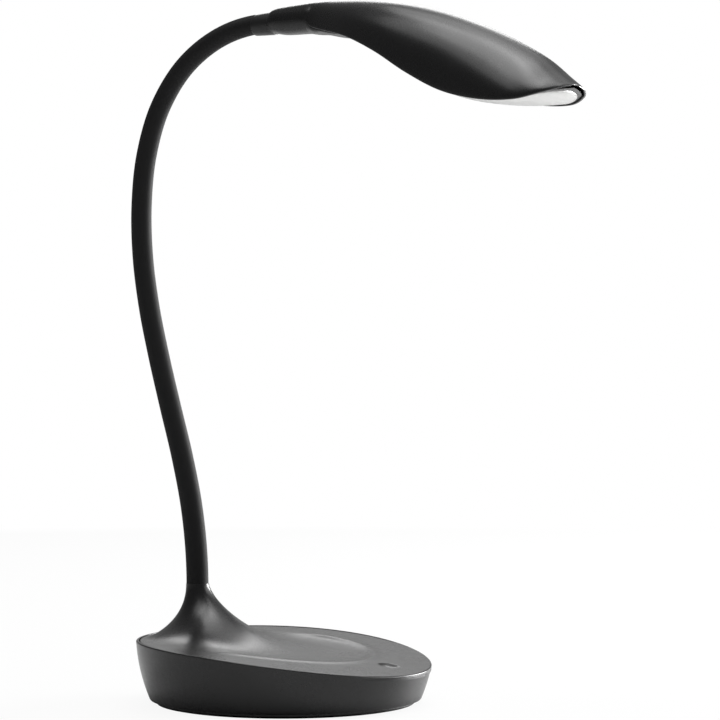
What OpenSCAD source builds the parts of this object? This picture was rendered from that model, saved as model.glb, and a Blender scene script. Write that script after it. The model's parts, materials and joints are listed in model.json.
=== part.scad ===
// Gooseneck desk lamp: weighted round base, bendable neck and a leaf-shaped LED head.
// Millimetres. The origin is the centre of the foot pad on the table, +X points to the front
// under the head, +Z points up.

/* [Base] */
// Diameter of the base at its rim
base_d = 155; // [150:1:158]
// Height of the crowned top surface at its highest line
crown_h = 33; // [32:0.5:35]
// Radius of the crown, a cylinder that lies across the base
crown_r = 776; // [740:1:850]
// Distance of the crown's highest line behind the centre
crown_back = 71; // [66:1:75]
// Radius of the curve that the side wall follows
wall_curve_r = 90; // [80:1:100]
// Thickness of the side wall
wall_t = 2.4; // [2.2:0.1:2.8]
// Height of the recessed foot below the side wall
foot_h = 2.5; // [2:0.5:4]
// Width that the foot is set back under the side wall
foot_inset = 3; // [2.5:0.5:5]
// Thickness of the foot pad
pad_t = 1; // [0.8:0.1:1.4]
// Width of the rim that stands around the top cover
lip_w = 1.5; // [1.2:0.1:1.6]
// Thickness of the top cover
cover_t = 2.4; // [2.2:0.1:2.8]

/* [Dish and touch spot] */
// Diameter of the shallow dish in the top cover
dish_d = 100; // [94:1:104]
// Depth of the dish
dish_depth = 1.8; // [1.2:0.1:2.2]
// Distance of the dish's centre behind the centre of the base
dish_back = 6; // [4:1:9]
// Distance of the touch spot behind the front of the rim
touch_inset = 19; // [17:0.5:21.5]
// Diameter of the touch spot's hollow
touch_d = 11; // [9:0.5:13]
// Depth of the touch spot's hollow
touch_depth = 0.8; // [0.5:0.1:1]

/* [Neck] */
// Distance of the neck's root in front of the rim's back
neck_inset = 26; // [24.5:0.5:28.5]
// Height of the root, where the sleeve leaves the fairing
root_h = 60; // [57:1:66]
// Diameter of the sleeve at the root
sleeve_root_d = 11.6; // [11.2:0.1:12.2]
// Diameter of the sleeve at the head
sleeve_top_d = 10.3; // [9.8:0.1:11]
// Length of one neck link
link_len = 27; // [25:0.5:29]
// Length of the fixed stub below the first joint
root_stub = 14; // [12:0.5:17]
// Length of the stub between the last joint and the head
head_stub = 17.5; // [15:0.5:20]
// Gap in the sleeve at each joint
sleeve_gap = 2.4; // [2.2:0.1:2.8]
// Diameter of the friction tube inside the sleeve
core_d = 6.2; // [5.8:0.1:6.4]
// Diameter of the wire channel in the friction tube
wire_bore_d = 3; // [2.4:0.1:3.2]
// Reach of the fairing behind the neck
fairing_back = 24; // [22:1:25]
// Reach of the fairing in front of the neck
fairing_front = 55; // [50:1:60]

/* [Head] */
// Length of the head from the end of the sleeve
head_len = 188; // [180:1:196]
// Width of the head at its widest
head_w = 64; // [60:1:68]
// Depth of the head from its back to its rim
head_depth = 56.5; // [54:0.5:60]
// Turn of the head about its own length
head_roll = 1; // [-2:0.5:4]
// Turn of the head to the side from the end of the neck
head_yaw = 8; // [4:0.5:9]
// Thickness of the upper shell
shell_t = 1.9; // [1.6:0.1:2.1]
// Width of the bezel around the lens
bezel_w = 3; // [2.5:0.1:3.5]
// Height of the bezel's face above the rim
bezel_recess = 1.2; // [0.8:0.1:1.6]
// Thickness of the lens
lens_t = 2; // [1.6:0.1:2.4]
// How far the middle of the lens bulges
lens_bulge = 2.6; // [1.6:0.1:3.4]

/* [Fittings] */
// Room between the cast ballast and the screw bosses around it
ballast_gap = 4.5; // [4:0.5:7]
// Thickness of the cast ballast
ballast_t = 7; // [6:0.5:7.5]
// Diameter of the anchor that holds the neck
anchor_d = 8.2; // [7.8:0.1:8.6]
// Width across flats of the anchor's nut
nut_af = 13; // [12.5:0.5:13.5]
// Diameter of the shank of the base screws
screw_d = 3; // [2.5:0.1:3.5]
// Diameter of the power inlet's socket
inlet_d = 5.6; // [5.2:0.1:6]
// Height of the power inlet above the table
inlet_h = 15; // [14.5:0.5:16.5]
// Diameter of each insulated wire
wire_d = 1.1; // [0.9:0.1:1.2]

/* [Hidden] */
$fn = 64;

soft_black = [0.16, 0.16, 0.165];
sleeve_black = [0.12, 0.12, 0.125];
pad_black = [0.07, 0.07, 0.07];
steel = [0.62, 0.63, 0.65];
iron = [0.3, 0.3, 0.32];
board_green = [0.1, 0.32, 0.2];
part_grey = [0.2, 0.2, 0.22];
milk_white = [0.93, 0.93, 0.92];
wire_red = [0.6, 0.1, 0.1];

slide_gap = 0.15;   // clearance of a part that is slid or dropped into its seat
eps = 0.05;         // overshoot of a cut
big = 200;          // reach of a cutting body

// ---------- base: shared shapes ----------
base_r = base_d / 2;
neck_back = base_r - neck_inset;    // distance of the neck's root behind the centre
touch_x = base_r - touch_inset;     // distance of the touch spot in front of the centre
wall_curve_h = crown_h + 5;   // height at which the wall curve would stand upright

// Outer radius of the side wall at height z.
function wall_r(z) =
    base_r + sqrt(pow(wall_curve_r, 2) - pow(z - wall_curve_h, 2))
    - sqrt(pow(wall_curve_r, 2) - pow(crown_h - wall_curve_h, 2));
// Height of the crowned top above x, sunk by drop.
function crown_z(x, drop = 0) =
    crown_h - crown_r + sqrt(pow(crown_r - drop, 2) - pow(x + crown_back, 2));
// Slope of the crowned top above x, as a turn about +Y.
function crown_tilt(x) = asin((x + crown_back) / crown_r);

wall_steps = 12;
wall_top = crown_h + 4;
boss_ring_r = base_r - 20;
boss_d = screw_d + 5;
ballast_d = 2 * (boss_ring_r - boss_d / 2 - ballast_gap);
floor_top = foot_h + 2.2;     // upper face of the bottom cover
flange_t = 2.4;               // inner flange of the side wall
ballast_top = floor_top + ballast_t;

// Solid of revolution inside the wall curve, inset by gap, from height low up.
module wall_body(gap, low) {
    rotate_extrude($fn = 96)
        polygon(concat(
            [[0, low]],
            [for (i = [0:wall_steps])
                let (z = low + (wall_top - low) * i / wall_steps) [wall_r(z) - gap, z]],
            [[0, wall_top]]
        ));
}

// Everything below the crowned top, sunk by drop.
module under_crown(drop = 0) {
    translate([-crown_back, 0, crown_h - crown_r])
        rotate([90, 0, 0])
            cylinder(r = crown_r - drop, h = big, center = true, $fn = 720);
}

module at_bosses() {
    for (a = [45:90:315])
        rotate([0, 0, a]) translate([boss_ring_r, 0, 0]) children();
}

// ---------- base: parts ----------
inlet_seat_x = -wall_r(inlet_h) + wall_t;
inlet_body_d = inlet_d + 5.4;
inlet_nose_d = inlet_d + 2.4;
inlet_proud = 0.6;            // depth that the wall's inside is faced off for the inlet's seat

module base_shell() {
    color(soft_black)
    difference() {
        union() {
            difference() {
                intersection() {
                    wall_body(0, foot_h);
                    under_crown();
                }
                wall_body(wall_t, foot_h - eps);
            }
            difference() {
                intersection() {
                    wall_body(wall_t - eps, floor_top);
                    translate([0, 0, floor_top]) cylinder(r = base_r, h = flange_t);
                }
                translate([0, 0, floor_top - eps])
                    cylinder(r = wall_r(floor_top) - wall_t - 4, h = flange_t + 2 * eps);
            }
        }
        difference() {
            wall_body(lip_w, crown_z(base_r, cover_t) - 2);
            under_crown(cover_t + slide_gap);
        }
        translate([inlet_seat_x + 1, 0, inlet_h]) rotate([0, -90, 0])
            cylinder(d = inlet_nose_d + 2 * slide_gap, h = wall_t + 6);
        translate([inlet_seat_x + inlet_proud, 0, inlet_h]) rotate([0, 90, 0])
            cylinder(d = inlet_body_d + 2 * slide_gap, h = 6);
    }
}

fairing_wall_h = 16;                        // height of the solid top of the fairing
fairing_r = sleeve_root_d / 2 + 0.2;        // radius of the fairing under the sleeve
anchor_bore_r = anchor_d / 2 + 0.1;
nut_pocket_r = nut_af / 2 / cos(30) + 1.4;
fairing_bite = 1.4;                         // depth that the fairing reaches into the cover
flare_run = [2.2, 1.5];                      // how fast the flare runs out, behind the neck and in front
flare_fall = [1.1, 1.5];                     // how fast it falls there
fairing_sink = 0.15;                        // depth of the fairing's edge under the cover's face
fairing_turns = 48;
fairing_steps = 10;
dish_slope = 3;                             // width of the dish's sloped edge
touch_ball_r = (pow(touch_d / 2, 2) + pow(touch_depth, 2)) / (2 * touch_depth);

// Reach of the fairing from the neck's axis in direction a, 0 to the front.
function fairing_reach(a) =
    fairing_back + (fairing_front - fairing_back) * pow((1 + cos(a)) / 2, 1.5);
// Share of the dish's depth at a place on the cover: 0 outside, 1 on the dish's floor.
function in_dish(x, y) =
    max(0, min(1, (dish_d / 2 - norm([x + dish_back, y])) / dish_slope));
// Height at which the fairing runs under the face of the cover in direction a.
function fairing_end_z(a) =
    let (x = -neck_back + fairing_reach(a) * cos(a), y = fairing_reach(a) * sin(a))
    crown_z(x) - dish_depth * in_dish(x, y) - fairing_sink;
// Point of the fairing's flare in direction a: s runs from 0 at the neck to 1 on the cover.
function flare(a, r0, r1, z0, z1, s) =
    let (ahead = (1 + cos(a)) / 2)
    [
        r0 + (r1 - r0) * pow(s, flare_run[0] + (flare_run[1] - flare_run[0]) * ahead),
        z1 + (z0 - z1) * pow(1 - s, flare_fall[0] + (flare_fall[1] - flare_fall[0]) * ahead)
    ];

function fairing_section(a) =
    let (
        reach = fairing_reach(a),
        end_z = fairing_end_z(a),
        low_z = end_z - fairing_bite,
        pocket_z = root_h - fairing_wall_h
    )
    concat(
        [for (i = [0:fairing_steps])
            flare(a, fairing_r, reach, root_h, end_z, i / fairing_steps)],
        [[reach, low_z], [reach - 4, low_z]],
        [for (i = [fairing_steps - 2:-1:0])
            flare(a, nut_pocket_r, reach - 4, pocket_z, low_z, i / (fairing_steps - 1))],
        [[anchor_bore_r, pocket_z], [anchor_bore_r, root_h]]
    );

module base_top_cover() {
    color(soft_black) {
        difference() {
            union() {
                cover_plate();
                intersection() {
                    at_bosses() translate([0, 0, floor_top]) cylinder(d = boss_d, h = crown_h);
                    under_crown(cover_t / 2);
                }
            }
            dish_cut();
            translate([touch_x, 0, crown_z(touch_x)]) rotate([0, crown_tilt(touch_x), 0])
                translate([0, 0, touch_ball_r - touch_depth]) sphere(r = touch_ball_r);
            translate([-neck_back, 0, 0]) cylinder(r = fairing_back - 4.5, h = big);
            at_bosses() translate([0, 0, floor_top - eps])
                cylinder(d = screw_d - 0.4, h = 9);
        }
        translate([-neck_back, 0, 0])
            ring_skin([for (k = [0:fairing_turns - 1])
                let (a = 360 * k / fairing_turns)
                [for (p = fairing_section(a)) [p[0] * cos(a), p[0] * sin(a), p[1]]]]);
    }
}

// Cut of the dish: a flat cone square to the crown, over the dish's floor.
module dish_cut() {
    reach = dish_slope + 4;
    rise = reach * dish_depth / dish_slope;
    difference() {
        translate([-dish_back, 0, crown_z(-dish_back)]) rotate([0, crown_tilt(-dish_back), 0])
            translate([0, 0, -rise])
                cylinder(r1 = dish_d / 2 - reach, r2 = dish_d / 2 + reach, h = 2 * rise);
        under_crown(dish_depth);
    }
}

module cover_plate() {
    difference() {
        intersection() {
            wall_body(lip_w + slide_gap, crown_z(base_r, cover_t) - 2);
            under_crown();
        }
        difference() {
            under_crown(cover_t);
            intersection() {
                translate([-dish_back, 0, 0]) cylinder(d = dish_d + 4, h = big);
                difference() {
                    under_crown(cover_t - eps);
                    under_crown(cover_t + dish_depth);
                }
            }
        }
    }
}

module base_bottom_cover() {
    foot_r = wall_r(foot_h) - foot_inset;
    color(soft_black)
    difference() {
        union() {
            translate([0, 0, pad_t - 0.6]) cylinder(r1 = foot_r - 0.6, r2 = foot_r, h = 0.8);
            translate([0, 0, pad_t + 0.2]) cylinder(r = foot_r, h = floor_top - pad_t - 0.2);
            translate([0, 0, foot_h])
                cylinder(r = wall_r(foot_h) - wall_t - slide_gap, h = floor_top - foot_h);
        }
        translate([0, 0, -eps]) cylinder(r = pad_r + slide_gap, h = pad_t + eps);
        at_bosses() {
            translate([0, 0, -eps]) cylinder(d = screw_d + 0.4, h = big);
            translate([0, 0, -eps]) cylinder(d = screw_head_d + 0.5, h = pad_t + screw_head_t + eps);
        }
        at_ballast_screws() {
            translate([0, 0, -eps]) cylinder(d = screw_d + 0.4, h = big);
            translate([0, 0, -eps]) cylinder(d = screw_head_d + 0.5, h = pad_t + screw_head_t + eps);
        }
    }
}

pad_r = wall_r(foot_h) - foot_inset - 2.5;
screw_head_d = screw_d + 2.6;
screw_head_t = 1.8;

module foot_pad() {
    color(pad_black) cylinder(r = pad_r, h = pad_t, $fn = 96);
}

// Pan-head screw with a cross recess, head down, its head's top on z = 0.
module pan_screw(d, head_d, head_t, length) {
    difference() {
        union() {
            translate([0, 0, 0.3]) cylinder(d = head_d, h = head_t - 0.3);
            cylinder(d1 = head_d - 0.8, d2 = head_d, h = 0.3);
            cylinder(d = d, h = length);
        }
        for (a = [0, 90]) rotate([0, 0, a])
            translate([-head_d * 0.3, -0.3, -eps]) cube([head_d * 0.6, 0.6, 0.9]);
    }
}

module base_screws() {
    color(steel)
        at_bosses() translate([0, 0, pad_t + 0.1])
            pan_screw(screw_d - 0.5, screw_head_d, screw_head_t - 0.1, 11);
}

module at_ballast_screws() {
    for (a = [0, 120, 240])
        rotate([0, 0, a]) translate([ballast_d / 2 - 10, 0, 0]) children();
}

module ballast_weight() {
    color(iron)
    difference() {
        translate([0, 0, floor_top]) cylinder(d = ballast_d, h = ballast_t, $fn = 96);
        at_ballast_screws() translate([0, 0, floor_top - eps])
            cylinder(d = screw_d, h = ballast_t - 1.5);
        at_board_corners() translate([0, 0, ballast_top - 4])
            cylinder(d = board_screw_d, h = big);
    }
}

module ballast_screws() {
    color(steel)
        at_ballast_screws() translate([0, 0, pad_t + 0.1])
            pan_screw(screw_d - 0.1, screw_head_d, screw_head_t - 0.1, ballast_t + 0.5);
}

// ---------- base: electronics ----------
board_l = 44;        // along X
board_w = 34;        // along Y
board_t = 1.6;
board_x = 6;         // centre of the board
board_screw_d = 2;
spacer_h = 2;
board_low = ballast_top + spacer_h;
board_top = board_low + board_t;

module at_board_corners() {
    for (sx = [-1, 1], sy = [-1, 1])
        translate([board_x + sx * (board_l / 2 - 3), sy * (board_w / 2 - 3), 0]) children();
}

module control_board() {
    color(board_green)
    difference() {
        translate([board_x - board_l / 2, -board_w / 2, board_low])
            cube([board_l, board_w, board_t]);
        at_board_corners() cylinder(d = board_screw_d + 0.4, h = big);
    }
}

module board_parts() {
    color(part_grey)
    translate([board_x, 0, board_top]) {
        translate([-6, -4, 0]) cube([9, 8, 1.2]);
        translate([-16, 4, 0]) cube([6, 6, 2.4]);
        translate([-14, -9, 0]) cylinder(d = 5, h = 2.6);
        translate([8, 5, 0]) cylinder(d = 4, h = 2.6);
        for (i = [0:4]) translate([6 + 2.6 * i, -8, 0]) cube([1.2, 2, 0.7]);
    }
}

module board_spacers() {
    color(milk_white)
        at_board_corners() translate([0, 0, ballast_top])
            difference() {
                cylinder(d = 4.6, h = spacer_h);
                translate([0, 0, -eps]) cylinder(d = board_screw_d + 0.4, h = spacer_h + 1);
            }
}

module board_screws() {
    color(steel)
        at_board_corners() translate([0, 0, board_top + 1.3]) rotate([180, 0, 0])
            pan_screw(board_screw_d - 0.1, 3.6, 1.3, 1.3 + board_t + spacer_h + 3);
}

touch_pad_t = 0.6;

// Frame on the underside of the top cover below the touch spot.
module under_touch() {
    translate([touch_x, 0, crown_z(touch_x, cover_t)])
        rotate([0, crown_tilt(touch_x), 0]) children();
}

module touch_pad() {
    color([0.75, 0.5, 0.25])
        under_touch() translate([0, 0, -touch_pad_t - slide_gap])
            cylinder(d = touch_d, h = touch_pad_t);
}

module touch_lead() {
    lead_x = board_x + board_l / 2 - 2;
    pad_low = crown_z(touch_x, cover_t) - touch_pad_t - slide_gap;
    color(wire_red)
        wire([
            [lead_x, 9, board_top + wire_d / 2],
            [lead_x + 6, 9, board_top + wire_d / 2 + 0.3],
            [touch_x - 6, 2, pad_low - wire_d],
            [touch_x, 0, pad_low - wire_d]
        ]);
}

inlet_len = 12;

module power_inlet() {
    nose = wall_t - 0.3;
    color(part_grey)
    translate([inlet_seat_x + inlet_proud, 0, inlet_h]) rotate([0, 90, 0])
        difference() {
            union() {
                cylinder(d = inlet_body_d, h = inlet_len);
                translate([0, 0, -nose - inlet_proud]) cylinder(d = inlet_nose_d, h = nose + 1);
            }
            difference() {
                translate([0, 0, -nose - 1]) cylinder(d = inlet_d, h = 10 + nose);
                translate([0, 0, -nose]) cylinder(d = 2, h = 12 + nose);
            }
        }
}

module inlet_wires() {
    back = inlet_seat_x + inlet_len + inlet_proud;
    color(wire_red)
    for (s = [-1, 1])
        wire([
            [back, 2.4 * s, inlet_h],
            [back + 6, 2.4 * s, inlet_h + 1],
            [board_x - board_l / 2 - 4, 2.4 * s, board_top + wire_d / 2 + 0.3],
            [board_x - board_l / 2 + 2, 2.4 * s, board_top + wire_d / 2]
        ]);
}

// ---------- neck: anchor ----------
anchor_low = root_h - 28;
anchor_top = root_h - 2;
washer_t = 1;
nut_t = 5;

module neck_anchor() {
    color(steel)
    translate([-neck_back, 0, anchor_low])
        difference() {
            cylinder(d = anchor_d, h = anchor_top - anchor_low);
            translate([0, 0, -eps]) cylinder(d = wire_bore_d + 0.6, h = big);
        }
}

module anchor_washer() {
    color(steel)
    translate([-neck_back, 0, root_h - fairing_wall_h - washer_t])
        difference() {
            cylinder(r = nut_pocket_r - 0.5, h = washer_t);
            translate([0, 0, -eps]) cylinder(d = anchor_d + 0.3, h = washer_t + 1);
        }
}

module anchor_nut() {
    color(steel)
    translate([-neck_back, 0, root_h - fairing_wall_h - washer_t - nut_t])
        difference() {
            cylinder(d = nut_af / cos(30), h = nut_t, $fn = 6);
            translate([0, 0, -eps]) cylinder(d = anchor_d + 0.1, h = nut_t + 1);
        }
}

module base_neck_wires() {
    color(wire_red)
    for (s = [-1, 1])
        wire([
            [board_x - board_l / 2 + 2, 0.7 * s, board_top + wire_d / 2],
            [board_x - board_l / 2 - 6, 0.7 * s, board_top + 1.5],
            [-neck_back + 6, 0.7 * s, board_top + 4],
            [-neck_back + 1.5, 0.7 * s, board_top + 7],
            [-neck_back, 0.7 * s, board_top + 11],
            [-neck_back, 0.7 * s, anchor_top - 1]
        ]);
}

// ---------- neck: links ----------
// Bend of each link in degrees, from the root up; positive bends back, negative to the front.
neck_turn = [4, 5, 6, 0, -1, -3, -6, -7, -9, -15, -20, -23, -14];
last = len(neck_turn) - 1;
dome_r = core_d / 2 + 0.2;     // ball at the upper end of a core
cup_r = dome_r + 0.25;         // hollow that turns on the ball below

function link_length(k) = k == 0 ? root_stub : k == last ? head_stub : link_len;
// Length of the neck below link k.
function length_below(k) = k == 0 ? 0 : length_below(k - 1) + link_length(k - 1);
// Frame at the foot of link k: [x, z, heading], the heading in degrees from +X to +Z.
function link_foot(k) =
    k == 0 ? [-neck_back, root_h, 90] : link_tip(link_foot(k - 1), link_length(k - 1), neck_turn[k - 1]);
function link_tip(f, length, turn) =
    turn == 0
    ? [f[0] + length * cos(f[2]), f[1] + length * sin(f[2]), f[2]]
    : let (r = length / (turn * PI / 180), h = f[2] + turn)
      [f[0] + r * (sin(h) - sin(f[2])), f[1] - r * (cos(h) - cos(f[2])), h];
// Radius of the sleeve around the middle of link k.
function sleeve_r(k) =
    (sleeve_root_d + (sleeve_top_d - sleeve_root_d)
    * (length_below(k) + link_length(k) / 2) / (length_below(last) + head_stub)) / 2;

// Children stand at the foot of link k, with +Z along the link.
module at_link(k) {
    f = link_foot(k);
    translate([f[0], 0, f[1]]) rotate([0, 90 - f[2], 0]) children();
}

// Children stand on a bent axis of the given length and turn, at distance s from its foot.
module on_bend(length, turn, s) {
    t = link_tip([0, 0, 90], s, turn * s / length);
    translate([t[0], 0, t[1]]) rotate([0, 90 - t[2], 0]) children();
}

// Bent round bar from s0 to s1 on an axis of the given length and turn.
module bent_bar(length, turn, r, s0, s1) {
    if (turn == 0) translate([0, 0, s0]) cylinder(r = r, h = s1 - s0);
    else {
        bend_r = length / (abs(turn) * PI / 180);
        mirror([turn < 0 ? 1 : 0, 0, 0]) translate([-bend_r, 0, 0]) rotate([90, 0, 0])
            rotate([0, 0, abs(turn) * s0 / length])
                rotate_extrude(angle = abs(turn) * (s1 - s0) / length)
                    translate([bend_r, 0]) circle(r = r);
    }
}

module neck_core(k) {
    length = link_length(k);
    turn = neck_turn[k];
    foot = k == 0 ? root_h - anchor_top : 0;
    tail = k == last ? 0 : 1;      // the tube ends this far inside the ball
    color(steel)
    at_link(k)
        difference() {
            union() {
                difference() {
                    bent_bar(length, turn, core_d / 2, 0, length - tail);
                    bent_bar(length, turn, wire_bore_d / 2, -0.5, length + 0.5);
                }
                if (k == 0) translate([0, 0, -foot]) root_plug(foot + 1);
                if (k < last) on_bend(length, turn, length) core_ball();
            }
            if (k > 0) sphere(r = cup_r);
        }
}

// Ball that the next link's cup turns on.
module core_ball() {
    difference() {
        sphere(r = dome_r);
        cylinder(d = wire_bore_d + 0.6, h = big, center = true);
    }
}

// Straight end of the friction tube that stands on the anchor.
module root_plug(h) {
    difference() {
        cylinder(d = core_d + 0.2, h = h);
        translate([0, 0, -eps]) cylinder(d = wire_bore_d + 0.3, h = h + 1);
    }
}

module neck_sleeve(k) {
    length = link_length(k);
    turn = neck_turn[k];
    low = k == 0 ? slide_gap : sleeve_gap / 2;
    high = k == last ? length - slide_gap : length - sleeve_gap / 2;
    color(sleeve_black)
    at_link(k)
        difference() {
            bent_bar(length, turn, sleeve_r(k), low, high);
            bent_bar(length, turn, core_d / 2 + slide_gap, low - 0.5, high + 0.5);
        }
}

// ---------- head: shared shapes ----------
head_foot = link_tip(link_foot(last), head_stub, neck_turn[last]);

// Children are drawn with the origin at the end of the sleeve and +X along the head.
module on_head() {
    translate([head_foot[0], 0, head_foot[1]])
        rotate([0, 0, -head_yaw]) rotate([head_roll, 0, 0])
            children();
}

// Stations of the hood: share of the length, share of the half width, and the heights of its
// back and of its rim over the neck's axis as shares of the depth.
HOOD = [
    [0.047, 0.195, 0.078, -0.028],
    [0.056, 0.227, 0.103, -0.014],
    [0.090, 0.242, 0.138, 0.000],
    [0.180, 0.266, 0.160, -0.007],
    [0.250, 0.360, 0.165, -0.089],
    [0.360, 0.620, 0.149, -0.195],
    [0.470, 0.800, 0.106, -0.354],
    [0.580, 0.920, 0.026, -0.563],
    [0.690, 0.985, -0.092, -0.737],
    [0.800, 1.000, -0.254, -0.826],
    [0.900, 0.970, -0.452, -0.837],
    [0.960, 0.775, -0.622, -0.767],
    [0.990, 0.440, -0.680, -0.728],
    [1.000, 0.120, -0.701, -0.711]
];
hood_last = len(HOOD) - 1;

// Smooth curve through the rows of a table, at row s.
function through(rows, s) =
    let (
        n = len(rows) - 1,
        i = min(n - 1, max(0, floor(s))),
        t = s - i,
        a = rows[max(0, i - 1)], b = rows[i], c = rows[i + 1], d = rows[min(n, i + 2)]
    )
    0.5 * (2 * b + t * (c - a) + t * t * (2 * a - 5 * b + 4 * c - d)
    + t * t * t * (3 * b - a - 3 * c + d));

// Hood at row s in millimetres: [x, half width, back, rim].
function hood(s) =
    let (h = through(HOOD, s)) [h[0] * head_len, h[1] * head_w / 2, h[2] * head_depth, h[3] * head_depth];
// The same at distance x from the neck, for x within the table.
function hood_at(x, lo = 0, hi = hood_last, n = 18) =
    n == 0 ? hood((lo + hi) / 2)
    : hood((lo + hi) / 2)[0] < x ? hood_at(x, (lo + hi) / 2, hi, n - 1)
    : hood_at(x, lo, (lo + hi) / 2, n - 1);

hood_rows = 44;
hood_cols = 20;
fullness = 2.2;      // 2 is an ellipse, more is squarer

function full_sin(a) = sign(sin(a)) * pow(abs(sin(a)), 2 / fullness);
function full_cos(a) = pow(max(0, cos(a)), 2 / fullness);
// Arch over the half width w between the heights rim and back.
function arch(x, w, back, rim) =
    [for (j = [0:hood_cols])
        let (a = -90 + 180 * j / hood_cols) [x, w * full_sin(a), rim + (back - rim) * full_cos(a)]];

// Closed solid between two grids of points; the columns run to +Y and the rows to +X.
module sheet(top, low) {
    n = len(top);
    m = len(top[0]);
    points = concat([for (r = top) for (p = r) p], [for (r = low) for (p = r) p]);
    quads = concat(
        [for (i = [0:n - 2], j = [0:m - 2])
            [i * m + j, i * m + j + 1, (i + 1) * m + j + 1, (i + 1) * m + j]],
        [for (i = [0:n - 2], j = [0:m - 2])
            [n * m + i * m + j, n * m + (i + 1) * m + j, n * m + (i + 1) * m + j + 1, n * m + i * m + j + 1]],
        [for (i = [0:n - 2]) [i * m, (i + 1) * m, n * m + (i + 1) * m, n * m + i * m]],
        [for (i = [0:n - 2])
            [(i + 1) * m + m - 1, i * m + m - 1, n * m + i * m + m - 1, n * m + (i + 1) * m + m - 1]],
        [for (j = [0:m - 2]) [j, n * m + j, n * m + j + 1, j + 1]],
        [for (j = [0:m - 2])
            let (e = (n - 1) * m + j) [e, e + 1, n * m + e + 1, n * m + e]]
    );
    polyhedron(points, [for (q = quads) for (t = [[q[0], q[1], q[2]], [q[0], q[2], q[3]]]) t]);
}

// Closed ring through a loop of like sections.
module ring_skin(sections) {
    n = len(sections);
    m = len(sections[0]);
    points = [for (s = sections) for (p = s) p];
    quads = [for (i = [0:n - 1], j = [0:m - 1])
        let (i2 = (i + 1) % n, j2 = (j + 1) % m)
        [i * m + j, i2 * m + j, i2 * m + j2, i * m + j2]];
    polyhedron(points, [for (q = quads) for (t = [[q[0], q[1], q[2]], [q[0], q[2], q[3]]]) t]);
}

wire_sides = 10;

function unit(v) = v / norm(v);

// Insulated wire along a route that nowhere runs along Y.
module wire(route) {
    n = len(route);
    m = wire_sides;
    points = [for (i = [0:n - 1])
        let (
            before = i == 0 ? [0, 0, 0] : unit(route[i] - route[i - 1]),
            after = i == n - 1 ? [0, 0, 0] : unit(route[i + 1] - route[i]),
            ahead = unit(before + after),
            side = unit([0, 1, 0] - ahead[1] * ahead),
            up = cross(ahead, side)
        )
        for (j = [0:m - 1])
            route[i] + wire_d / 2 * (side * cos(360 * j / m) + up * sin(360 * j / m))];
    walls = [for (i = [0:n - 2], j = [0:m - 1])
        let (j2 = (j + 1) % m) [i * m + j, (i + 1) * m + j, (i + 1) * m + j2, i * m + j2]];
    ends = [[for (j = [0:m - 1]) j], [for (j = [m - 1:-1:0]) (n - 1) * m + j]];
    polyhedron(points, concat(walls, ends));
}

// ---------- head: parts ----------
collar_d = sleeve_top_d + 1.2;
collar_from = 1;         // where the collar starts on the ferrule's axis
collar_len = 7.2;
ferrule_tilt = 4.5;
ferrule_d = 5.6;
ferrule_from = 0.6;      // where the ferrule starts on its axis
ferrule_len = 26;
bush_len = 8;
bush_from = 16;
bush_gap = 0.35;

// Children stand on the ferrule's axis at distance s from the end of the sleeve.
module on_ferrule(s) {
    on_head() rotate([0, 90 - ferrule_tilt, 0]) translate([0, 0, s]) children();
}

module neck_collar() {
    color(sleeve_black)
    on_ferrule(collar_from)
        difference() {
            cylinder(d1 = collar_d - 0.4, d2 = collar_d, h = collar_len);
            translate([0, 0, -eps]) cylinder(d = ferrule_d + 0.2, h = collar_len + 1);
        }
}

module head_ferrule() {
    color(steel)
    on_ferrule(ferrule_from)
        difference() {
            cylinder(d = ferrule_d, h = ferrule_len);
            translate([0, 0, -eps]) cylinder(d = wire_bore_d + 0.6, h = ferrule_len + 1);
        }
}

module ferrule_bush() {
    h = hood_at(bush_from);
    bush_r = min(h[1], h[2] - bush_from * tan(ferrule_tilt)) - shell_t - bush_gap;
    color(part_grey)
    on_ferrule(bush_from)
        difference() {
            cylinder(r = bush_r, h = bush_len);
            translate([0, 0, -eps]) cylinder(d = ferrule_d + 0.1, h = bush_len + 1);
        }
}

// Inside of the hood at row s.
function hood_inner(s) =
    let (
        h = hood(s),
        near_tip = max(0, min(1, (s - hood_last + 5) / 4)),
        t = shell_t * min(1, 0.35 + 0.65 * s)
    )
    [
        h[0] - t * near_tip,
        max(h[1] - t, 0.3 * h[1]),
        h[3] + max(h[2] - h[3] - t * (1 + 0.3 * near_tip), 0.3 * (h[2] - h[3])),
        h[3]
    ];

module head_shell() {
    rows = [for (i = [0:hood_rows]) hood_last * i / hood_rows];
    color(soft_black)
    on_head()
        sheet(
            [for (s = rows) let (h = hood(s)) arch(h[0], h[1], h[2], h[3])],
            [for (s = rows) let (h = hood_inner(s)) arch(h[0], h[1], h[2], h[3])]
        );
}

// Stations of the lower cover: share of the length, height of its edge over the rim, and
// how far its middle hangs below the edge, as shares of the depth.
TONGUE = [
    [0.052, -0.007, 0.083],
    [0.110, -0.007, 0.108],
    [0.180, -0.007, 0.103],
    [0.250, -0.006, 0.047],
    [0.305, -0.002, 0.032],
    [0.360, 0.014, 0.010],
    [0.425, 0.028, 0.004]
];
tongue_t = 1.5;
tongue_rows = 20;

// Half width of the lower cover at the hood row h: flush at the neck, inside the shell further out.
function tongue_w(h) =
    let (inside = max(0, min(1, (h[0] / head_len - 0.16) / 0.08)))
    h[1] - 0.4 - (shell_t - 0.15) * inside;

// Row s of the lower cover: [x, half width, height of its middle, height of its edge].
function tongue_row(s) =
    let (
        r = through(TONGUE, s),
        h = hood_at(r[0] * head_len),
        edge = h[3] + r[1] * head_depth
    )
    [h[0], tongue_w(h), edge - r[2] * head_depth, edge];

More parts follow.
